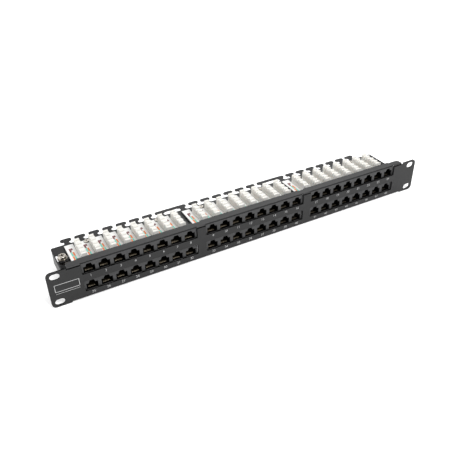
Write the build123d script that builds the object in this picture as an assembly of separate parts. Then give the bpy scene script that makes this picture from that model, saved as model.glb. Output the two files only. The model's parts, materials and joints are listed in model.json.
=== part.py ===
from build123d import *
import os

# A 1U, 19-inch, 48-port network patch panel. Millimetres.
# X runs along the panel, Y goes back from its front face, Z is up.
# The origin is the centre of the rack slot pattern, on the front face of the ears.

# Front panel
PANEL_W = 482.6
PANEL_H = 43.66
PANEL_T = 1.5
EAR_INNER_X = 220.5
CENTRE_TOP_Z = 19.8
CENTRE_BOTTOM_Z = -20.5
EAR_CORNER_R = 5.0
SLOT_X = 465.1 / 2
SLOT_Z = 31.75 / 2
SLOT_LENGTH = 10.4
SLOT_WIDTH = 7.2

# Port grid: three modules of eight ports, in two rows
MODULE_PITCH = 140.7
PORT_PITCH = 16.15
PORTS = 8
ROW_DROP = 21.7
WINDOW_HALF = 65.2
UPPER_WINDOW_Z = 8.0
LOWER_WINDOW_Z = (-13.7, -0.9)
WINDOW_CORNER_R = 1.2

# Inner frame: a C-section sheet welded behind the front panel
FRAME_T = 1.2
FRAME_HALF = 219.0
FRAME_TOP_Z = 21.5
FRAME_BOTTOM_Z = -20.3
FRAME_DEPTH = 10.1
FRAME_BEND_R = 1.4

# Tray: the horizontal sheet at mid height, with side walls and the tie comb
TRAY_T = 1.2
TRAY_TOP_Z = 5.6
TRAY_HALF = 222.5
TRAY_REAR_Y = 65.0
TRAY_WALL_BOTTOM_Z = -11.3
TRAY_WALL_REAR_Y = 60.0
TRAY_BEND_R = 1.6
TRAY_ENVELOPE_H = 40.0
TRAY_OPENING_Y = (12.0, 47.0)
TRAY_OPENING_X = (-69.8, 66.0)
TRAY_END_OPENING_Y = (12.0, 35.0)
TRAY_SIDE_SLOT_X = 219.0
TRAY_SIDE_SLOT_Y = (12.0, 50.0)
RETURN_FLANGE_X = 204.0
RETURN_FLANGE_Y = (20.0, 60.0)
HOOK_OFFSET = -6.1
HOOK_STEM_W = 6.0
HOOK_BAR_W = 12.6
HOOK_BAR_Y = (70.7, 76.0)
HOOK_FILLET = 2.4
BRIDGE_Y = (72.1, 76.0)

# Circuit boards
BOARD_HALF = 68.3
BOARD_T = 1.6
BOARD_Y = (4.0, 60.0)
UPPER_FACE_Z = TRAY_TOP_Z + BOARD_T
LOWER_FACE_Z = -1.4
SCREW_XS = (-43.4, 40.5)
SCREW_Y = 56.5
SCREW_HOLE_R = 1.7

# Jack housings
JACK_FRONT_Y = 1.9
JACK_REAR_Y = 17.5
JACK_H = 13.0
JACK_STEP_Y = 13.4
JACK_STEP_H = 3.0
MOUTH_DEPTH = 11.5
MOUTH_HALF = 6.1
MOUTH_FLOOR = 0.5
MOUTH_SHOULDER = 8.2
LATCH_LOW_HALF = 3.6
LATCH_HIGH_HALF = 2.2
LATCH_TOP = 11.4
MOUTH_CHAMFER = 0.2
REAR_BAY_HALF = 4.4
REAR_BAY_TOP = 5.9
NOTCH_HALF = 0.7
NOTCH_DEPTH = 1.5

# Spring contacts and the insert that holds them
WIRES = 8
WIRE_PITCH = 1.016
WIRE_W = 0.45
WIRE_T = 0.35
WIRE_FRONT_Y = 6.2
WIRE_ROOT_Y = 6.8
WIRE_TIP = (12.3, 5.2)
WIRE_RUN_Z = 0.7
TAIL_Y = 16.4
INSERT_CLEARANCE = 0.05

# 110-type punch-down blocks
BLOCK_OFFSET = 1.7
BLOCK_FRONT_Y = 21.6
CLIP_PITCH = 3.8
CLIPS = 8
BLOCK_L = CLIP_PITCH * CLIPS
BLOCK_H = 10.8
PAIR_TOOTH_DROP = 1.3
BLOCK_SLOT_HALF = 0.5
BLOCK_SLOT_MOUTH_HALF = 1.2
BLOCK_SLOT_LEAD = 1.3
BLOCK_SLOT_FLOOR = 5.4
BLOCK_SECTION = (
    (3.0, 0.0), (3.0, 2.4), (2.55, 2.6), (2.55, 3.2), (2.95, 3.4), (2.95, 4.1),
    (2.5, 4.3), (2.5, 4.9), (3.1, 5.1), (3.1, 8.6), (2.8, BLOCK_H),
)
CLIP_T = 0.4
CLIP_HALF_W = 1.1
CLIP_H = 8.0
CLIP_GAP = 0.32
CLIP_GAP_DEPTH = 2.4
CLIP_MOUTH_HALF = 0.6
CHANNEL_CLEARANCE = 0.15

# Wiring labels beside each block
LABEL_X = (-11.3, -1.5)
LABEL_Y = (18.0, 59.6)
LABEL_T = 0.15
LABEL_SCREW_R = 3.3

# Module fasteners, M3
HEAD_R = 2.75
HEAD_H = 1.9
SHANK_R = 1.42
NUT_FLATS = 5.5
NUT_H = 2.4
SPACER_R = 3.2
SCREW_END_Z = -4.4

# Cross recess of every screw head, as shares of the head's radius or height
HEAD_DOME = 0.42
RECESS_DEPTH = 0.62
RECESS_ARM = 1.2
RECESS_WIDTH = 0.34

# Ground screw, M5, with a captive washer and a clinch nut
GROUND_X = -215.3
GROUND_Y = 41.2
GROUND_HEAD_R = 4.4
GROUND_HEAD_H = 3.3
GROUND_WASHER_R = 5.25
GROUND_WASHER_T = 1.1
GROUND_SHANK_R = 2.45
GROUND_BORE_R = 2.5
GROUND_NUT_R = 4.5
GROUND_NUT_H = 4.0
GROUND_END_Z = -1.4

MODULES = (("left", -MODULE_PITCH), ("centre", 0.0), ("right", MODULE_PITCH))


def block(x, y, z):
    """A box from its limits along each axis."""
    size = (x[1] - x[0], y[1] - y[0], z[1] - z[0])
    centre = ((x[0] + x[1]) / 2, (y[0] + y[1]) / 2, (z[0] + z[1]) / 2)
    return Pos(*centre) * Box(*size)


def tube_z(radius, z, centre=(0.0, 0.0)):
    """An upright cylinder between two heights."""
    return Pos(centre[0], centre[1], (z[0] + z[1]) / 2) * Cylinder(radius, z[1] - z[0])


def extrude_y(sketch, y):
    """A sketch drawn in X and Z, made solid between two depths."""
    front = Plane((0, y[0], 0), x_dir=(1, 0, 0), z_dir=(0, -1, 0)) * sketch
    return extrude(front, amount=y[1] - y[0], dir=(0, 1, 0))


def extrude_x(sketch, x):
    """A sketch drawn in Y and Z, made solid between two places along the panel."""
    side = Plane((x[0], 0, 0), x_dir=(0, 1, 0), z_dir=(1, 0, 0)) * sketch
    return extrude(side, amount=x[1] - x[0], dir=(1, 0, 0))


def polygon(points):
    """A closed outline, kept where its points are."""
    return Polygon(*points, align=None)


def port_xs():
    """Port centres of one module, from the module's middle."""
    return [(k - (PORTS - 1) / 2) * PORT_PITCH for k in range(PORTS)]


def window_cutters():
    """The six port windows as sketches in X and Z."""
    shapes = []
    upper_h = 2 * (FRAME_TOP_Z - UPPER_WINDOW_Z)
    lower_h = LOWER_WINDOW_Z[1] - LOWER_WINDOW_Z[0]
    for _, x in MODULES:
        upper = RectangleRounded(2 * WINDOW_HALF, upper_h, WINDOW_CORNER_R)
        shapes.append(Pos(x, UPPER_WINDOW_Z + upper_h / 2) * upper)
        lower = RectangleRounded(2 * WINDOW_HALF, lower_h, WINDOW_CORNER_R)
        shapes.append(Pos(x, sum(LOWER_WINDOW_Z) / 2) * lower)
    return shapes


def faceplate():
    """The flat front panel with two ears, four rack slots and six windows."""
    centre_h = CENTRE_TOP_Z - CENTRE_BOTTOM_Z
    sketch = Pos(0, (CENTRE_TOP_Z + CENTRE_BOTTOM_Z) / 2) * Rectangle(2 * EAR_INNER_X, centre_h)
    ear_w = PANEL_W / 2 - EAR_INNER_X
    for side in (-1, 1):
        sketch += Pos(side * (EAR_INNER_X + ear_w / 2), 0) * Rectangle(ear_w, PANEL_H)
    outer = [v for v in sketch.vertices() if abs(v.X) > PANEL_W / 2 - 1]
    sketch = fillet(outer, EAR_CORNER_R)
    inner = [v for v in sketch.vertices() if abs(v.X) < EAR_INNER_X + 1 and abs(v.Y) > PANEL_H / 2 - 0.1]
    sketch = fillet(inner, WINDOW_CORNER_R)
    for cutter in window_cutters():
        sketch -= cutter
    for sx in (-1, 1):
        for sz in (-1, 1):
            sketch -= Pos(sx * SLOT_X, sz * SLOT_Z) * SlotOverall(SLOT_LENGTH, SLOT_WIDTH)
    return extrude_y(sketch, (0, PANEL_T))


def inner_frame():
    """The C-section behind the front panel: wall with windows, top and bottom flanges."""
    height = FRAME_TOP_Z - FRAME_BOTTOM_Z
    middle = (FRAME_TOP_Z + FRAME_BOTTOM_Z) / 2
    depth = FRAME_DEPTH - PANEL_T
    outer = Pos(PANEL_T + depth / 2, middle) * Rectangle(depth, height)
    outer = fillet([v for v in outer.vertices() if v.X < PANEL_T + 0.1], FRAME_BEND_R)
    hollow = Pos(PANEL_T + FRAME_T + depth / 2, middle) * Rectangle(depth, height - 2 * FRAME_T)
    body = extrude_x(outer - hollow, (-FRAME_HALF, FRAME_HALF))
    wall_y = (PANEL_T, PANEL_T + FRAME_T)
    top_cut = (UPPER_FACE_Z - 0.3, FRAME_TOP_Z - FRAME_T)
    low_cut = (UPPER_FACE_Z - ROW_DROP - 0.3, LOWER_FACE_Z + 0.5)
    for _, x in MODULES:
        span = (x - WINDOW_HALF, x + WINDOW_HALF)
        body -= block(span, wall_y, top_cut)
        body -= block(span, (PANEL_T, PANEL_T + FRAME_BEND_R), (FRAME_TOP_Z - FRAME_T, FRAME_TOP_Z))
        body -= block(span, wall_y, low_cut)
    corners = [
        e for e in body.edges().filter_by(Axis.Z)
        if abs(e.center().X) > FRAME_HALF - 0.1 and e.center().Y > FRAME_DEPTH - 0.1
    ]
    return fillet(corners, 3.0)


def hook_xs():
    """Middles of the 24 tie hooks, left to right."""
    return [x + p + HOOK_OFFSET for _, x in MODULES for p in port_xs()]


def tray_plate():
    """The plan of the tray: openings, hooks and the bridges that join the three combs."""
    front_y = PANEL_T + FRAME_T
    plan = Pos(0, (front_y + TRAY_REAR_Y) / 2) * Rectangle(2 * TRAY_HALF, TRAY_REAR_Y - front_y)
    plan = fillet([v for v in plan.vertices() if v.Y > TRAY_REAR_Y - 0.1], 2.0)
    bar_h = HOOK_BAR_Y[1] - HOOK_BAR_Y[0]
    bar_middle = sum(HOOK_BAR_Y) / 2
    for x in hook_xs():
        stem_h = bar_middle - TRAY_REAR_Y
        plan += Pos(x, TRAY_REAR_Y + stem_h / 2) * Rectangle(HOOK_STEM_W, stem_h)
    plan = fillet(
        [v for v in plan.vertices() if abs(v.Y - TRAY_REAR_Y) < 0.01 and abs(v.X) < TRAY_HALF - 5], HOOK_FILLET
    )
    for x in hook_xs():
        plan += Pos(x, bar_middle) * SlotOverall(HOOK_BAR_W, bar_h)
    xs = hook_xs()
    for last in (PORTS - 1, 2 * PORTS - 1):
        middle = (xs[last] + xs[last + 1]) / 2
        span = xs[last + 1] - xs[last]
        plan += Pos(middle, sum(BRIDGE_Y) / 2) * Rectangle(span, BRIDGE_Y[1] - BRIDGE_Y[0])
    return plan


def tray():
    """The mid-height sheet with its front lip, its side walls and their return flanges."""
    plan = tray_plate()
    body = extrude(Plane.XY.offset(TRAY_TOP_Z - TRAY_T) * plan, amount=TRAY_T)
    for side in (-1, 1):
        wall_x = sorted((side * (TRAY_HALF - TRAY_T), side * TRAY_HALF))
        body += block(wall_x, (PANEL_T, TRAY_WALL_REAR_Y), (TRAY_WALL_BOTTOM_Z, TRAY_TOP_Z))
        flange_x = sorted((side * RETURN_FLANGE_X, side * TRAY_HALF))
        body += block(flange_x, RETURN_FLANGE_Y, (TRAY_WALL_BOTTOM_Z, TRAY_WALL_BOTTOM_Z + TRAY_T))
    envelope = Pos(0, TRAY_TOP_Z - TRAY_ENVELOPE_H / 2) * RectangleRounded(2 * TRAY_HALF, TRAY_ENVELOPE_H, TRAY_BEND_R)
    body &= extrude_y(envelope, (0, HOOK_BAR_Y[1] + 1))
    lip_y = (PANEL_T + FRAME_T, PANEL_T + 2 * FRAME_T)
    body += block((-FRAME_HALF, FRAME_HALF), lip_y, (0.6, TRAY_TOP_Z - TRAY_T))
    through = (TRAY_TOP_Z - TRAY_T - 1, TRAY_TOP_Z + 1)
    for _, x in MODULES:
        body -= block((x + TRAY_OPENING_X[0], x + TRAY_OPENING_X[1]), TRAY_OPENING_Y, through)
        for sx in SCREW_XS:
            body -= tube_z(SCREW_HOLE_R, through, (x + sx, SCREW_Y))
    inner_wall = TRAY_HALF - TRAY_T
    window_ends = (-MODULE_PITCH + TRAY_OPENING_X[0], MODULE_PITCH + TRAY_OPENING_X[1])
    for side, window_end in zip((-1, 1), window_ends):
        body -= block(sorted((side * inner_wall, window_end - side)), TRAY_END_OPENING_Y, through)
        body -= block(sorted((side * inner_wall, side * TRAY_SIDE_SLOT_X)), TRAY_SIDE_SLOT_Y, through)
    return body - tube_z(GROUND_SHANK_R + 0.2, through, (GROUND_X, GROUND_Y))


def board(z):
    """One module's circuit board between two heights."""
    body = block((-BOARD_HALF, BOARD_HALF), BOARD_Y, z)
    for sx in SCREW_XS:
        body -= tube_z(SCREW_HOLE_R, (z[0] - 1, z[1] + 1), (sx, SCREW_Y))
    return body


def port_mouth(base):
    """The plug opening of one port, with the tapered latch way above it."""
    floor, shoulder, top = (base + z for z in (MOUTH_FLOOR, MOUTH_SHOULDER, LATCH_TOP))
    outline = polygon((
        (-MOUTH_HALF, floor), (MOUTH_HALF, floor), (MOUTH_HALF, shoulder), (LATCH_LOW_HALF, shoulder),
        (LATCH_HIGH_HALF, top), (-LATCH_HIGH_HALF, top), (-LATCH_LOW_HALF, shoulder), (-MOUTH_HALF, shoulder),
    ))
    return extrude_y(outline, (JACK_FRONT_Y - 1, JACK_FRONT_Y + MOUTH_DEPTH))


def rear_bay(base, tails_up):
    """The bay behind one mouth that takes the contact insert, and the way out for the tails."""
    y = (JACK_FRONT_Y + MOUTH_DEPTH, JACK_REAR_Y + 1)
    cut = block((-REAR_BAY_HALF, REAR_BAY_HALF), y, (base + MOUTH_FLOOR, base + REAR_BAY_TOP))
    tail_y = (TAIL_Y - 0.5, JACK_REAR_Y + 1)
    tail_z = (base + MOUTH_FLOOR, base + JACK_H + 1) if tails_up else (base - 1, base + MOUTH_FLOOR)
    return cut + block((-REAR_BAY_HALF, REAR_BAY_HALF), tail_y, tail_z)


def jack_housing(base, tails_up):
    """Eight joined jack shells with stepped tops and a notch between neighbours."""
    half = PORTS * PORT_PITCH / 2
    top = base + JACK_H
    body = block((-half, half), (JACK_FRONT_Y, JACK_REAR_Y), (base, top))
    if not tails_up:
        body -= block((-half, half), (JACK_STEP_Y, JACK_REAR_Y), (top - JACK_STEP_H, top))
    cutters = []
    for x in port_xs():
        cutters.append(Pos(x, 0, 0) * port_mouth(base))
        cutters.append(Pos(x, 0, 0) * rear_bay(base, tails_up))
    notch_y = (JACK_STEP_Y - NOTCH_DEPTH, JACK_REAR_Y)
    for k in range(1, PORTS):
        x = (k - PORTS / 2) * PORT_PITCH
        cutters.append(block((x - NOTCH_HALF, x + NOTCH_HALF), notch_y, (top - JACK_STEP_H, top)))
    body = body - cutters
    mouths = [
        e for e in body.edges().filter_by_position(Axis.Y, JACK_FRONT_Y - 0.01, JACK_FRONT_Y + 0.01)
        if abs(e.center().X) < half - 0.1 and base + 0.1 < e.center().Z < top - 0.1
    ]
    return chamfer(mouths, MOUTH_CHAMFER)


def jack_inserts(base):
    """The eight contact carriers of one housing, each an upturned channel over its wires."""
    half = REAR_BAY_HALF - INSERT_CLEARANCE
    y = (JACK_FRONT_Y + MOUTH_DEPTH, TAIL_Y - 0.55)
    floor = base + MOUTH_FLOOR
    one = block((-half, half), y, (floor, base + REAR_BAY_TOP - INSERT_CLEARANCE))
    wires_half = (WIRES - 1) / 2 * WIRE_PITCH + WIRE_W
    one -= block((-wires_half, wires_half), (y[0] - 1, y[1] + 1), (floor - 1, base + WIRE_RUN_Z + WIRE_T + 0.1))
    return [Pos(x, 0, 0) * one for x in port_xs()]


def spring_contact(base, tails_up):
    """One contact wire: a tail, a run along the floor, and a spring arm sloping up and back."""
    low = base + WIRE_RUN_Z
    high = low + WIRE_T
    tip_y, tip_z = WIRE_TIP[0], base + WIRE_TIP[1]
    nose_y = WIRE_FRONT_Y - WIRE_T
    end_y = TAIL_Y + WIRE_T
    if tails_up:
        top = base + JACK_H
        outline = [(nose_y, low), (end_y, low), (end_y, top), (TAIL_Y, top), (TAIL_Y, high)]
    else:
        outline = [(nose_y, low), (TAIL_Y, low), (TAIL_Y, base), (end_y, base), (end_y, high)]
    outline += [(WIRE_ROOT_Y, high), (tip_y, tip_z), (tip_y, tip_z + WIRE_T)]
    return extrude_x(polygon(outline), (-WIRE_W / 2, WIRE_W / 2))


def jack_contacts(base, tails_up):
    """All the spring contacts of one module row."""
    wire = spring_contact(base, tails_up)
    offsets = [(i - (WIRES - 1) / 2) * WIRE_PITCH for i in range(WIRES)]
    return [Pos(x + dx, 0, 0) * wire for x in port_xs() for dx in offsets]


def clip_ys():
    """Depths of a block's eight wire slots."""
    return [BLOCK_FRONT_Y + (i + 0.5) * CLIP_PITCH for i in range(CLIPS)]


def comb_outline():
    """Side view of a punch-down block: teeth that are lower inside each pair."""
    points = [(BLOCK_FRONT_Y, 0.0), (BLOCK_FRONT_Y, BLOCK_H)]
    for i, y in enumerate(clip_ys()):
        before = BLOCK_H - PAIR_TOOTH_DROP * (i % 2)
        after = BLOCK_H - PAIR_TOOTH_DROP * (1 - i % 2)
        points.append((y - BLOCK_SLOT_MOUTH_HALF, before))
        points.append((y - BLOCK_SLOT_HALF, before - BLOCK_SLOT_LEAD))
        points.append((y - BLOCK_SLOT_HALF, BLOCK_SLOT_FLOOR))
        points.append((y + BLOCK_SLOT_HALF, BLOCK_SLOT_FLOOR))
        points.append((y + BLOCK_SLOT_HALF, after - BLOCK_SLOT_LEAD))
        points.append((y + BLOCK_SLOT_MOUTH_HALF, after))
    points.append((BLOCK_FRONT_Y + BLOCK_L, BLOCK_H))
    points.append((BLOCK_FRONT_Y + BLOCK_L, 0.0))
    return polygon(points)


def punch_block():
    """One white punch-down block on a board face at height zero."""
    section = list(BLOCK_SECTION) + [(-x, z) for x, z in reversed(BLOCK_SECTION)]
    body = extrude_y(polygon(section), (BLOCK_FRONT_Y, BLOCK_FRONT_Y + BLOCK_L))
    body &= extrude_x(comb_outline(), (-BLOCK_SECTION[0][0] - 1, BLOCK_SECTION[0][0] + 1))
    half_x = CLIP_T / 2 + CHANNEL_CLEARANCE
    reach = CLIP_HALF_W + CHANNEL_CLEARANCE
    ys = clip_ys()
    channel = block((-half_x, half_x), (ys[0] - reach, ys[-1] + reach), (-1, CLIP_H + CHANNEL_CLEARANCE))
    return body - channel


def clip():
    """One insulation-displacement clip, a blade with a wire slot in its top."""
    low = CLIP_H - CLIP_GAP_DEPTH
    blade = polygon((
        (-CLIP_HALF_W, 0), (CLIP_HALF_W, 0), (CLIP_HALF_W, CLIP_H), (CLIP_MOUTH_HALF, CLIP_H),
        (CLIP_GAP / 2, low), (-CLIP_GAP / 2, low), (-CLIP_MOUTH_HALF, CLIP_H), (-CLIP_HALF_W, CLIP_H),
    ))
    return extrude_x(blade, (-CLIP_T / 2, CLIP_T / 2))


def module_labels():
    """The wiring labels beside one module's blocks, cleared round the screws."""
    one = block(LABEL_X, LABEL_Y, (0, LABEL_T))
    labels = [Pos(x, 0, 0) * one for x in port_xs()]
    clearings = [tube_z(LABEL_SCREW_R, (-1, 1), (sx, SCREW_Y)) for sx in SCREW_XS]
    return [shape - clearings for shape in labels]


def on_upper_board(shape):
    """Stand a shape on the upper board's top face."""
    return Pos(0, 0, UPPER_FACE_Z) * shape


def on_lower_board(shape):
    """Hang a shape from the lower board's bottom face, mirrored top to bottom."""
    return Pos(0, 0, LOWER_FACE_Z) * mirror(shape, about=Plane.XY)


def pan_head(radius, height, base):
    """A domed screw head, with a cross recess, standing on a height."""
    head = tube_z(radius, (base, base + height))
    rim = head.edges().filter_by(GeomType.CIRCLE).sort_by(Axis.Z)[-1]
    head = fillet(rim, height * HEAD_DOME)
    depth = height * RECESS_DEPTH
    arm, width = radius * RECESS_ARM, radius * RECESS_WIDTH
    for size in ((arm, width), (width, arm)):
        head -= Pos(0, 0, base + height - depth / 2) * Box(size[0], size[1], depth)
    return head


def module_screws():
    """The six M3 screws that clamp both boards of each module to the tray."""
    one = pan_head(HEAD_R, HEAD_H, UPPER_FACE_Z) + tube_z(SHANK_R, (SCREW_END_Z, UPPER_FACE_Z))
    return [Pos(x + sx, SCREW_Y, 0) * one for _, x in MODULES for sx in SCREW_XS]


def module_nuts():
    """The six hexagon nuts under the lower boards."""
    nut = extrude(RegularPolygon(NUT_FLATS / 2, 6, major_radius=False), amount=NUT_H)
    one = Pos(0, 0, LOWER_FACE_Z - NUT_H) * nut - tube_z(SHANK_R + 0.06, (LOWER_FACE_Z - 4, LOWER_FACE_Z + 1))
    return [Pos(x + sx, SCREW_Y, 0) * one for _, x in MODULES for sx in SCREW_XS]


def spacers():
    """The six tubes between the tray and the lower boards."""
    z = (LOWER_FACE_Z + BOARD_T, TRAY_TOP_Z - TRAY_T)
    one = tube_z(SPACER_R, z) - tube_z(SCREW_HOLE_R, z)
    return [Pos(x + sx, SCREW_Y, 0) * one for _, x in MODULES for sx in SCREW_XS]


def ground_screw():
    """The M5 earthing screw, tight on its washer."""
    base = TRAY_TOP_Z + GROUND_WASHER_T
    body = pan_head(GROUND_HEAD_R, GROUND_HEAD_H, base) + tube_z(GROUND_SHANK_R, (GROUND_END_Z, base))
    return Pos(GROUND_X, GROUND_Y, 0) * body


def ground_washer():
    """The captive flat washer under the earthing screw's head."""
    z = (TRAY_TOP_Z, TRAY_TOP_Z + GROUND_WASHER_T)
    ring = tube_z(GROUND_WASHER_R, z) - tube_z(GROUND_BORE_R, z)
    return Pos(GROUND_X, GROUND_Y, 0) * ring


def ground_nut():
    """The clinch nut under the tray that takes the earthing screw."""
    z = (TRAY_TOP_Z - TRAY_T - GROUND_NUT_H, TRAY_TOP_Z - TRAY_T)
    ring = tube_z(GROUND_NUT_R, z) - tube_z(GROUND_BORE_R, z)
    return Pos(GROUND_X, GROUND_Y, 0) * ring


def save(name, shapes):
    """Write one node, a single solid or a group of separate ones."""
    solids = shapes if isinstance(shapes, list) else [shapes]
    solids = [s for shape in solids for s in shape.solids()]
    export_step(solids[0] if len(solids) == 1 else Compound(solids), f"parts/{name}.step")


def save_modules(name, shapes):
    """Write the same shapes once for each of the three modules."""
    shapes = shapes if isinstance(shapes, list) else [shapes]
    for side, x in MODULES:
        save(f"{name}_{side}", [Pos(x, 0, 0) * shape for shape in shapes])


def build():
    os.makedirs("parts", exist_ok=True)
    save("faceplate", faceplate())
    save("inner_frame", inner_frame())
    save("tray", tray())

    upper_base = UPPER_FACE_Z
    lower_base = LOWER_FACE_Z - JACK_H
    save_modules("board_upper", board((TRAY_TOP_Z, UPPER_FACE_Z)))
    save_modules("board_lower", board((LOWER_FACE_Z, LOWER_FACE_Z + BOARD_T)))
    for row, base, tails_up in (("upper", upper_base, False), ("lower", lower_base, True)):
        save_modules(f"jack_housing_{row}", jack_housing(base, tails_up))
        save_modules(f"jack_inserts_{row}", jack_inserts(base))
        save_modules(f"jack_contacts_{row}", jack_contacts(base, tails_up))

    blocks = [Pos(x + BLOCK_OFFSET, 0, 0) * punch_block() for x in port_xs()]
    clips = [Pos(x + BLOCK_OFFSET, y, 0) * clip() for x in port_xs() for y in clip_ys()]
    labels = module_labels()
    for row, place in (("upper", on_upper_board), ("lower", on_lower_board)):
        save_modules(f"punch_blocks_{row}", [place(s) for s in blocks])
        save_modules(f"idc_clips_{row}", [place(s) for s in clips])
        save_modules(f"wiring_labels_{row}", [place(s) for s in labels])

    save("module_screws", module_screws())
    save("module_nuts", module_nuts())
    save("module_spacers", spacers())
    save("ground_screw", ground_screw())
    save("ground_washer", ground_washer())
    save("ground_nut", ground_nut())


build()
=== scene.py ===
import json
import math

import bmesh
import bpy
from mathutils import Matrix, Vector


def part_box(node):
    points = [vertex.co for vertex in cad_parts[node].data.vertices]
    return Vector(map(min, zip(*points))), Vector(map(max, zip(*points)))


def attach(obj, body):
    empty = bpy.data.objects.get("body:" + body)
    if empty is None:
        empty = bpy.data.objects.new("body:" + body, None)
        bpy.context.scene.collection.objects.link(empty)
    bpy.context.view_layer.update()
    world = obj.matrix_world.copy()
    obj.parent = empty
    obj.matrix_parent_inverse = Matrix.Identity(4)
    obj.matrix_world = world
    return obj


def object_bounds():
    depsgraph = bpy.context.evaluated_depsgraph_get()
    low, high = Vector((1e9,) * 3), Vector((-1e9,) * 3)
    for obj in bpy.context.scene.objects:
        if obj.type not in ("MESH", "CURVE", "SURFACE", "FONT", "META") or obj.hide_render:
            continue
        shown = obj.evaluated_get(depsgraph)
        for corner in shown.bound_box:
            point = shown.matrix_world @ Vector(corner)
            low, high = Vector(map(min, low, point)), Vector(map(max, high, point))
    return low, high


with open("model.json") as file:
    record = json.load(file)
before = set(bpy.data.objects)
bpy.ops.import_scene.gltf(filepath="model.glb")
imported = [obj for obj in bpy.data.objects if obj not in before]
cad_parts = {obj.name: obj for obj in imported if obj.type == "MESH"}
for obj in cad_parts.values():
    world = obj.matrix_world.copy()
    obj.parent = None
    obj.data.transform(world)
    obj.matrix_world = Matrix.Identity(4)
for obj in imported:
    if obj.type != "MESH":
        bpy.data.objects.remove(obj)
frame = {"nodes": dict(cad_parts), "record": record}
CAD_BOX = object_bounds()
MM = 0.001

# Where things are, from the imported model
SIDES = ("left", "centre", "right")
ROWS = ("upper", "lower")
PORTS = 8
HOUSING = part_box("jack_housing_upper_centre")
PORT_PITCH = (HOUSING[1][0] - HOUSING[0][0]) / PORTS
MODULE_X = {s: (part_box(f"board_upper_{s}")[0][0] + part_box(f"board_upper_{s}")[1][0]) / 2 for s in SIDES}
PANEL_FRONT_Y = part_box("faceplate")[0][1]
UPPER_LABEL_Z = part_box("wiring_labels_upper_left")[1][2]
LOWER_LABEL_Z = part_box("wiring_labels_lower_left")[0][2]

# Printing on the panel
NUMBER_HEIGHT = 3.1 * MM
NUMBER_SIZE = NUMBER_HEIGHT / 0.729
UPPER_NUMBER_Z = 3.55 * MM
LOWER_NUMBER_Z = -17.75 * MM
NUMBER_THINNING = 0.07 * MM
INK = 0.03 * MM
PLATE_X = (-235.0 * MM, -210.0 * MM)
PLATE_Z = (-3.0 * MM, 5.5 * MM)

# Painted shade that turns the insides of the jacks near black: where it darkens and ends in depth,
# and the floor and roof of each row
INSIDE_START_Y = (2.3 * MM, 3.4 * MM)
INSIDE_END_Y = (13.2 * MM, 13.5 * MM)
INSIDE_Z = ((7.25 * MM, 20.1 * MM), (-14.35 * MM, -1.45 * MM))
INSIDE_EDGE = 0.05 * MM

# Where painted shade makes the contact wires stop being bright, in depth
WIRE_SHADE_Y = (6.4 * MM, 7.0 * MM)

# Colour code beside each punch-down block: a row of two squares for each wire pair
PAIR_PITCH = 7.6 * MM
PAIR_START_Y = 21.6 * MM
CODE_LEFT_X = (-8.4 * MM, -6.5 * MM)
CODE_RIGHT_X = (-6.4 * MM, -4.5 * MM)
CODE_GAP = 0.2 * MM
PAIR_CODES = (("blue", "blue"), ("orange", "teal"), ("teal", "orange"), ("brown", "brown"))

# The photograph's viewpoint
AZIMUTH = -28.207
ELEVATION = 34.411
ROLL = -1.062
DISTANCE = 0.662083
PAN = (-0.031002, -0.006028)
LENS = 44.652


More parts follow.
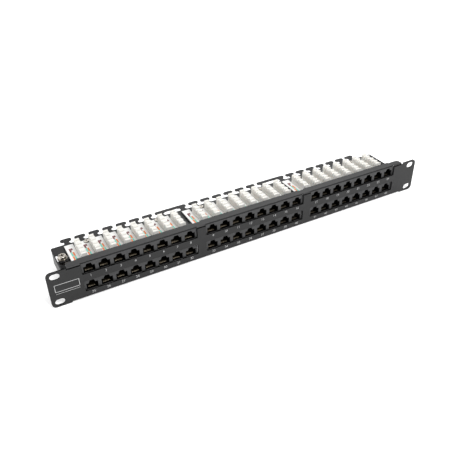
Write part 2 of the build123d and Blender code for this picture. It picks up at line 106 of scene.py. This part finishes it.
class Nodes:
    """A short way to build one material's node tree."""

    def __init__(self, name):
        self.material = bpy.data.materials.new(name)
        self.material.use_nodes = True
        self.tree = self.material.node_tree
        self.shader = self.tree.nodes["Principled BSDF"]
        self.place = self.add("ShaderNodeTexCoord").outputs["Object"]

    def add(self, kind, **settings):
        node = self.tree.nodes.new(kind)
        for key, value in settings.items():
            setattr(node, key, value)
        return node

    def link(self, source, target):
        self.tree.links.new(source, target)

    def noise(self, size, detail=4.0, stretch=(1.0, 1.0, 1.0)):
        """Noise whose features are about that size, in metres."""
        mapping = self.add("ShaderNodeMapping")
        mapping.inputs["Scale"].default_value = stretch
        self.link(self.place, mapping.inputs["Vector"])
        node = self.add("ShaderNodeTexNoise")
        node.inputs["Scale"].default_value = 1.0 / size
        node.inputs["Detail"].default_value = detail
        self.link(mapping.outputs["Vector"], node.inputs["Vector"])
        return node.outputs["Fac"]

    def span(self, source, low, high):
        """A number that goes from low to high as the source does."""
        node = self.add("ShaderNodeMapRange")
        node.inputs["From Min"].default_value = 0.3
        node.inputs["From Max"].default_value = 0.7
        node.inputs["To Min"].default_value = low
        node.inputs["To Max"].default_value = high
        self.link(source, node.inputs["Value"])
        return node.outputs["Result"]

    def shift(self, fac, a, b):
        """Number a where fac is 0 and b where it is 1."""
        node = self.add("ShaderNodeMapRange")
        node.inputs["To Min"].default_value = a
        node.inputs["To Max"].default_value = b
        self.link(fac, node.inputs["Value"])
        return node.outputs["Result"]

    def mix(self, fac, a, b):
        """Colour a where fac is 0 and b where it is 1."""
        node = self.add("ShaderNodeMix", data_type="RGBA")
        self.link(fac, node.inputs["Factor"])
        for socket, value in ((node.inputs["A"], a), (node.inputs["B"], b)):
            if isinstance(value, tuple):
                socket.default_value = (*value, 1.0)
            else:
                self.link(value, socket)
        return node.outputs["Result"]

    def edges(self, radius):
        """1 on the sharp outer edges, 0 on the flats."""
        rounded = self.add("ShaderNodeBevel", samples=4)
        rounded.inputs["Radius"].default_value = radius
        flat = self.add("ShaderNodeNewGeometry")
        dot = self.add("ShaderNodeVectorMath", operation="DOT_PRODUCT")
        self.link(rounded.outputs["Normal"], dot.inputs[0])
        self.link(flat.outputs["Normal"], dot.inputs[1])
        node = self.add("ShaderNodeMapRange")
        node.inputs["From Min"].default_value = 0.995
        node.inputs["From Max"].default_value = 0.86
        self.link(dot.outputs["Value"], node.inputs["Value"])
        return node.outputs["Result"]

    def relief(self, height, distance, strength=1.0, edge_radius=0.0):
        """Bumps of that depth, in metres, over edges that are rounded by a radius."""
        node = self.add("ShaderNodeBump")
        node.inputs["Strength"].default_value = strength
        node.inputs["Distance"].default_value = distance
        self.link(height, node.inputs["Height"])
        if edge_radius:
            rounded = self.add("ShaderNodeBevel", samples=4)
            rounded.inputs["Radius"].default_value = edge_radius
            self.link(rounded.outputs["Normal"], node.inputs["Normal"])
        self.link(node.outputs["Normal"], self.shader.inputs["Normal"])

    def openness(self, distance, closed, clear):
        """0 where the surface is boxed in within that distance, and 1 where it is open."""
        shelter = self.add("ShaderNodeAmbientOcclusion", samples=6)
        shelter.inputs["Distance"].default_value = distance
        node = self.add("ShaderNodeMapRange")
        node.inputs["From Min"].default_value = closed
        node.inputs["From Max"].default_value = clear
        self.link(shelter.outputs["AO"], node.inputs["Value"])
        return node.outputs["Result"]

    def along(self, axis, start, end):
        """0 before start and 1 after end, along one axis of the frame."""
        split = self.add("ShaderNodeSeparateXYZ")
        self.link(self.place, split.inputs["Vector"])
        node = self.add("ShaderNodeMapRange")
        node.inputs["From Min"].default_value = start
        node.inputs["From Max"].default_value = end
        self.link(split.outputs[axis], node.inputs["Value"])
        return node.outputs["Result"]

    def combine(self, operation, a, b):
        """One number made from two."""
        node = self.add("ShaderNodeMath", operation=operation)
        self.link(a, node.inputs[0])
        self.link(b, node.inputs[1])
        return node.outputs["Value"]

    def product(self, a, b):
        """One number times the other."""
        return self.combine("MULTIPLY", a, b)

    def largest(self, a, b):
        """The larger of two numbers."""
        return self.combine("MAXIMUM", a, b)

    def facing_up(self):
        """1 on surfaces that face straight up, and 0 on the rest."""
        flat = self.add("ShaderNodeNewGeometry")
        split = self.add("ShaderNodeSeparateXYZ")
        self.link(flat.outputs["True Normal"], split.inputs["Vector"])
        node = self.add("ShaderNodeMapRange")
        node.inputs["From Min"].default_value = 0.7
        node.inputs["From Max"].default_value = 0.95
        self.link(split.outputs["Z"], node.inputs["Value"])
        return node.outputs["Result"]

    def put(self, name, value):
        """Set or link one of the shader's own sockets."""
        socket = self.shader.inputs[name]
        if isinstance(value, bpy.types.NodeSocket):
            self.link(value, socket)
        elif isinstance(value, tuple):
            socket.default_value = value if socket.type == "VECTOR" else (*value, 1.0)
        else:
            socket.default_value = value


def powder_coat(name, low, high, painted_top_shade=False):
    """Black powder coat: fine orange peel, faint mottling, and lighter edges, partly paint rubbed thin and
    partly a painted highlight.

    A painted top shade makes the surfaces that face straight up almost black and takes away their reflection.
    """
    m = Nodes(name)
    cloud = m.noise(0.035, 3.0)
    grain = m.noise(0.0004, 2.0)
    # Lighter edges: partly paint rubbed thin, partly a painted highlight.
    base = m.mix(m.edges(0.0004), m.mix(cloud, low, high), (0.05, 0.05, 0.052))
    if painted_top_shade:
        # Painted shade: surfaces facing straight up are turned near black and lose their reflection.
        up = m.facing_up()
        base = m.mix(up, base, (0.001, 0.001, 0.001))
        m.put("Specular IOR Level", m.shift(up, 0.34, 0.0))
    else:
        m.put("Specular IOR Level", 0.34)
    m.put("Base Color", base)
    m.put("Roughness", m.span(grain, 0.38, 0.50))
    m.relief(grain, 0.00004, 0.6, 0.00035)
    return m.material


def painted_mouth_shade(m):
    """1 on the walls inside a jack's mouth, where shade is painted, and 0 on its face, roof and rear."""
    deep = m.product(m.along("Y", *INSIDE_START_Y), m.along("Y", *reversed(INSIDE_END_Y)))
    rows = []
    for floor, roof in INSIDE_Z:
        above = m.along("Z", floor, floor + INSIDE_EDGE)
        below = m.along("Z", roof, roof - INSIDE_EDGE)
        rows.append(m.product(above, below))
    return m.product(deep, m.largest(*rows))


def moulded_black():
    """Black moulded plastic with a fine spark-eroded grain and flow variation, with painted shade darkening
    its hollows and turning the jack mouths near black.
    """
    m = Nodes("moulded_black")
    flow = m.noise(0.012, 3.0, (1.0, 0.4, 1.0))
    grain = m.noise(0.00022, 3.0)
    inside = painted_mouth_shade(m)
    face = m.mix(flow, (0.022, 0.022, 0.023), (0.031, 0.031, 0.032))
    # Painted shade: faces boxed in within 5 mm are darkened towards black.
    face_with_painted_shade = m.mix(m.openness(0.005, 0.55, 0.85), (0.0015, 0.0015, 0.0015), face)
    # Painted shade: the walls inside the jack mouths are turned near black and lose their reflection.
    m.put("Base Color", m.mix(inside, face_with_painted_shade, (0.0012, 0.0012, 0.0012)))
    m.put("Specular IOR Level", m.shift(inside, 0.5, 0.05))
    m.put("Roughness", m.span(grain, 0.42, 0.60))
    m.relief(grain, 0.00002, 0.5, 0.0002)
    return m.material


def solder_mask():
    """Black solder mask over glass weave, with faint mottling."""
    m = Nodes("solder_mask")
    weave = m.add("ShaderNodeTexWave", wave_type="BANDS", bands_direction="X")
    weave.inputs["Scale"].default_value = 320.0
    weave.inputs["Distortion"].default_value = 1.2
    m.link(m.place, weave.inputs["Vector"])
    across = m.add("ShaderNodeTexWave", wave_type="BANDS", bands_direction="Y")
    across.inputs["Scale"].default_value = 320.0
    across.inputs["Distortion"].default_value = 1.2
    m.link(m.place, across.inputs["Vector"])
    cloud = m.noise(0.02, 3.0)
    m.put("Base Color", m.mix(cloud, (0.012, 0.012, 0.013), (0.022, 0.022, 0.024)))
    m.put("Roughness", m.span(cloud, 0.28, 0.42))
    m.relief(m.largest(weave.outputs["Fac"], across.outputs["Fac"]), 0.00001, 0.35)
    return m.material


def plated(name, tint, dull, rough, grain_stretch=(1.0, 1.0, 1.0)):
    """Plated metal with fine scratches, uneven brightness and painted shade in its recesses."""
    m = Nodes(name)
    patch = m.noise(0.0022, 4.0)
    scratch = m.noise(0.00018, 2.0, grain_stretch)
    face = m.mix(patch, dull, tint)
    # Painted shade: recesses within 1.5 mm are darkened towards near black.
    m.put("Base Color", m.mix(m.openness(0.0015, 0.35, 0.80), (0.02, 0.019, 0.017), face))
    m.put("Metallic", 1.0)
    m.put("Roughness", m.span(patch, rough[0], rough[1]))
    m.relief(scratch, 0.000012, 0.5, 0.0001)
    return m.material


def spring_gold():
    """Gold-flashed contact wire, bright at its front fold and turned near black further back by painted
    shade.
    """
    m = Nodes("spring_gold")
    patch = m.noise(0.0015, 3.0)
    bright = m.mix(patch, (0.10, 0.085, 0.06), (0.16, 0.135, 0.10))
    # Painted shade: the wires go near black beyond their front fold.
    m.put("Base Color", m.mix(m.along("Y", *WIRE_SHADE_Y), bright, (0.010, 0.008, 0.005)))
    m.put("Metallic", 1.0)
    m.put("Roughness", m.span(patch, 0.30, 0.45))
    m.relief(m.noise(0.00015, 2.0), 0.00001, 0.5, 0.0001)
    return m.material


def block_plastic():
    """Warm white moulded plastic with light passing a little way in, and painted shade darkening its grooves.
    """
    m = Nodes("block_plastic")
    cloud = m.noise(0.008, 3.0)
    grain = m.noise(0.0002, 2.0)
    face = m.mix(cloud, (0.73, 0.718, 0.68), (0.80, 0.79, 0.755))
    # Painted shade: grooves within 1 mm are darkened.
    m.put("Base Color", m.mix(m.openness(0.0010, 0.30, 0.72), (0.36, 0.35, 0.32), face))
    m.put("Roughness", m.span(grain, 0.38, 0.50))
    m.put("Subsurface Weight", 0.12)
    m.put("Subsurface Scale", 0.0012)
    m.put("Subsurface Radius", (1.0, 0.95, 0.85))
    m.relief(grain, 0.000015, 0.5, 0.0002)
    return m.material


def label_film():
    """White printed film with the faintest tooth."""
    m = Nodes("label_film")
    tooth = m.noise(0.0003, 3.0)
    cloud = m.noise(0.01, 2.0)
    m.put("Base Color", m.mix(cloud, (0.74, 0.735, 0.72), (0.82, 0.815, 0.80)))
    m.put("Roughness", m.span(tooth, 0.50, 0.64))
    m.relief(tooth, 0.00001, 0.4)
    return m.material


def ink(name, colour):
    """Screen-printed ink, slightly uneven in cover."""
    m = Nodes(name)
    cover = m.noise(0.0005, 3.0)
    thin = tuple(0.86 * c for c in colour)
    m.put("Base Color", m.mix(cover, thin, colour))
    m.put("Roughness", m.span(cover, 0.45, 0.60))
    m.relief(cover, 0.000008, 0.4)
    return m.material


def floor_material():
    """A plain pale sweep with hardly any texture."""
    m = Nodes("pale_floor")
    cloud = m.noise(0.3, 2.0)
    m.put("Base Color", m.mix(cloud, (0.93, 0.93, 0.93), (0.95, 0.95, 0.95)))
    m.put("Roughness", 0.9)
    m.put("Specular IOR Level", 0.1)
    m.put("Emission Color", (1.0, 1.0, 1.0))
    m.put("Emission Strength", 0.3)
    return m.material


def dress_nodes():
    """Give every CAD node its finish."""
    finishes = {
        "jack_plastic": moulded_black(),
        "board_black": solder_mask(),
        "contact_gold": spring_gold(),
        "clip_metal": plated("clip_metal", (0.72, 0.71, 0.69), (0.58, 0.57, 0.55), (0.30, 0.45)),
        "nickel": plated("nickel", (0.78, 0.74, 0.68), (0.62, 0.58, 0.52), (0.16, 0.30)),
        "zinc": plated("zinc", (0.66, 0.62, 0.56), (0.36, 0.33, 0.29), (0.20, 0.36)),
        "block_plastic": block_plastic(),
        "label_film": label_film(),
    }
    sheets = {
        # The faceplate gets painted shade on its top-facing surfaces.
        "faceplate": powder_coat("powder_coat_front", (0.007, 0.007, 0.0072), (0.011, 0.011, 0.0112), True),
        # The frame's copy of the same black coat is lighter: painted light on its flange and bend.
        "inner_frame": powder_coat("powder_coat_frame", (0.024, 0.024, 0.0245), (0.030, 0.030, 0.0305)),
        "tray": powder_coat("powder_coat_tray", (0.007, 0.007, 0.0072), (0.011, 0.011, 0.0112)),
    }
    for part in frame["record"]["subparts"]:
        node = frame["nodes"][part["node"]]
        finish = sheets.get(part["node"]) or finishes[part["material_slot"]]
        if not node.data.materials:
            node.data.materials.append(finish)
        for i in range(len(node.data.materials)):
            node.data.materials[i] = finish


def mesh_object(name, bm, materials):
    """A new object from a bmesh, in the frame's own coordinates."""
    mesh = bpy.data.meshes.new(name)
    bm.to_mesh(mesh)
    bm.free()
    for material in materials:
        mesh.materials.append(material)
    piece = bpy.data.objects.new(name, mesh)
    bpy.context.scene.collection.objects.link(piece)
    return piece


def slab(bm, x, y, z, material_index=0):
    """Add a thin box between limits to a bmesh."""
    size = Vector((x[1] - x[0], y[1] - y[0], z[1] - z[0]))
    centre = Vector(((x[0] + x[1]) / 2, (y[0] + y[1]) / 2, (z[0] + z[1]) / 2))
    matrix = Matrix.Translation(centre) @ Matrix.Diagonal((*size, 1.0))
    made = bmesh.ops.create_cube(bm, size=1.0, matrix=matrix)
    for face in {f for v in made["verts"] for f in v.link_faces}:
        face.material_index = material_index


def port_x(side, k):
    """The centre of one port of one module."""
    return MODULE_X[side] + (k - (PORTS - 1) / 2) * PORT_PITCH


def add_text(bm, words, x, z):
    """Add upright lettering on the panel's face to a bmesh, centred on x with its foot at z."""
    curve = bpy.data.curves.new("number", "FONT")
    curve.body = words
    curve.size = NUMBER_SIZE
    curve.align_x = "CENTER"
    curve.extrude = INK / 2
    curve.offset = -NUMBER_THINNING
    holder = bpy.data.objects.new("number", curve)
    bpy.context.scene.collection.objects.link(holder)
    bpy.context.view_layer.update()
    mesh = bpy.data.meshes.new_from_object(holder.evaluated_get(bpy.context.evaluated_depsgraph_get()))
    mesh.transform(Matrix.Translation((x, PANEL_FRONT_Y - INK / 2, z)) @ Matrix.Rotation(math.pi / 2, 4, "X"))
    bm.from_mesh(mesh)
    bpy.data.objects.remove(holder)
    bpy.data.curves.remove(curve)
    bpy.data.meshes.remove(mesh)


def port_numbers(white):
    """The numbers 1 to 48 under the port windows."""
    for row, z, first in (("upper", UPPER_NUMBER_Z, 1), ("lower", LOWER_NUMBER_Z, 25)):
        for i, side in enumerate(SIDES):
            bm = bmesh.new()
            for k in range(PORTS):
                add_text(bm, str(first + i * PORTS + k), port_x(side, k), z)
            piece = mesh_object(f"port_numbers_{row}_{side}", bm, [white])
            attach(piece, "panel")


def write_on_plate(white):
    """A blank write-on outline with one rule below it, at the panel's left end."""
    bm = bmesh.new()
    y = (PANEL_FRONT_Y - INK, PANEL_FRONT_Y)
    line = 0.45 * MM
    for z in PLATE_Z:
        slab(bm, PLATE_X, y, (z - line / 2, z + line / 2))
    for x in PLATE_X:
        slab(bm, (x - line / 2, x + line / 2), y, (PLATE_Z[0] - line / 2, PLATE_Z[1] + line / 2))
    rule_z = PLATE_Z[0] - 2.6 * MM
    slab(bm, PLATE_X, y, (rule_z - line / 3, rule_z + line / 3))
    piece = mesh_object("write_on_outline", bm, [white])
    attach(piece, "panel")


def colour_code(inks):
    """The coloured squares and tick marks on the wiring labels."""
    names = list(inks)
    materials = [inks[n] for n in names]
    for row in ROWS:
        z = (UPPER_LABEL_Z, UPPER_LABEL_Z + INK) if row == "upper" else (LOWER_LABEL_Z - INK, LOWER_LABEL_Z)
        for side in SIDES:
            bm = bmesh.new()
            for k in range(PORTS):
                x = port_x(side, k)
                for pair, (left, right) in enumerate(PAIR_CODES):
                    y0 = PAIR_START_Y + pair * PAIR_PITCH
                    y = (y0 + CODE_GAP, y0 + PAIR_PITCH - CODE_GAP)
                    slab(bm, (x + CODE_LEFT_X[0], x + CODE_LEFT_X[1]), y, z, names.index(left))
                    middle = (y[0] + y[1]) / 2
                    ends = (middle, y[1]) if right == "brown" else y
                    slab(bm, (x + CODE_RIGHT_X[0], x + CODE_RIGHT_X[1]), ends, z, names.index(right))
            piece = mesh_object(f"colour_code_{row}_{side}", bm, materials)
            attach(piece, "panel")


def camera():
    """The photograph's camera."""
    a, e, r = (math.radians(v) for v in (AZIMUTH, ELEVATION, ROLL))
    back = Vector((math.sin(a) * math.cos(e), -math.cos(a) * math.cos(e), math.sin(e)))
    level = Vector((0, 0, 1)).cross(back).normalized()
    upright = back.cross(level)
    right = math.cos(r) * level + math.sin(r) * upright
    up = -math.sin(r) * level + math.cos(r) * upright
    place = PAN[0] * right + PAN[1] * up + DISTANCE * back
    data = bpy.data.cameras.new("camera")
    data.lens = LENS
    data.sensor_width = 36.0
    data.clip_start = 0.01
    holder = bpy.data.objects.new("camera", data)
    holder.matrix_world = Matrix((
        (right.x, up.x, back.x, place.x),
        (right.y, up.y, back.y, place.y),
        (right.z, up.z, back.z, place.z),
        (0.0, 0.0, 0.0, 1.0),
    ))
    bpy.context.scene.collection.objects.link(holder)
    bpy.context.scene.camera = holder


def softbox(name, place, aim, size, power):
    """A square studio light aimed at a point."""
    data = bpy.data.lights.new(name, "AREA")
    data.shape = "RECTANGLE"
    data.size, data.size_y = size
    data.energy = power
    holder = bpy.data.objects.new(name, data)
    holder.location = place
    holder.rotation_euler = (Vector(aim) - Vector(place)).to_track_quat("-Z", "Y").to_euler()
    bpy.context.scene.collection.objects.link(holder)


def studio():
    """A pale floor, an even white surround and three softboxes."""
    bm = bmesh.new()
    bmesh.ops.create_grid(bm, x_segments=8, y_segments=8, size=6.0)
    floor = mesh_object("floor", bm, [floor_material()])
    floor.location = (0.0, 0.0, CAD_BOX[0][2] - 0.0002)
    world = bpy.data.worlds.new("studio")
    world.use_nodes = True
    world.node_tree.nodes["Background"].inputs["Color"].default_value = (1.0, 1.0, 1.0, 1.0)
    world.node_tree.nodes["Background"].inputs["Strength"].default_value = 0.72
    bpy.context.scene.world = world
    softbox("key", (0.14, -0.66, 0.87), (0, 0, 0), (0.5, 0.5), 9.0)
    softbox("back", (0.55, 1.05, 0.85), (0, 0.03, 0), (1.2, 0.8), 3.0)
    softbox("side", (-1.5, 0.35, 0.75), (0, 0.03, 0), (0.8, 0.8), 5.0)
    bpy.context.scene.view_settings.view_transform = "Standard"
    bpy.context.scene.view_settings.look = "None"


def build():
    dress_nodes()
    white = ink("white_ink", (0.56, 0.56, 0.56))
    port_numbers(white)
    write_on_plate(white)
    colour_code({
        "blue": ink("blue_ink", (0.05, 0.16, 0.55)),
        "orange": ink("orange_ink", (0.78, 0.22, 0.08)),
        "brown": ink("brown_ink", (0.16, 0.045, 0.05)),
        "teal": ink("teal_ink", (0.20, 0.60, 0.50)),
    })
    camera()
    studio()


build()
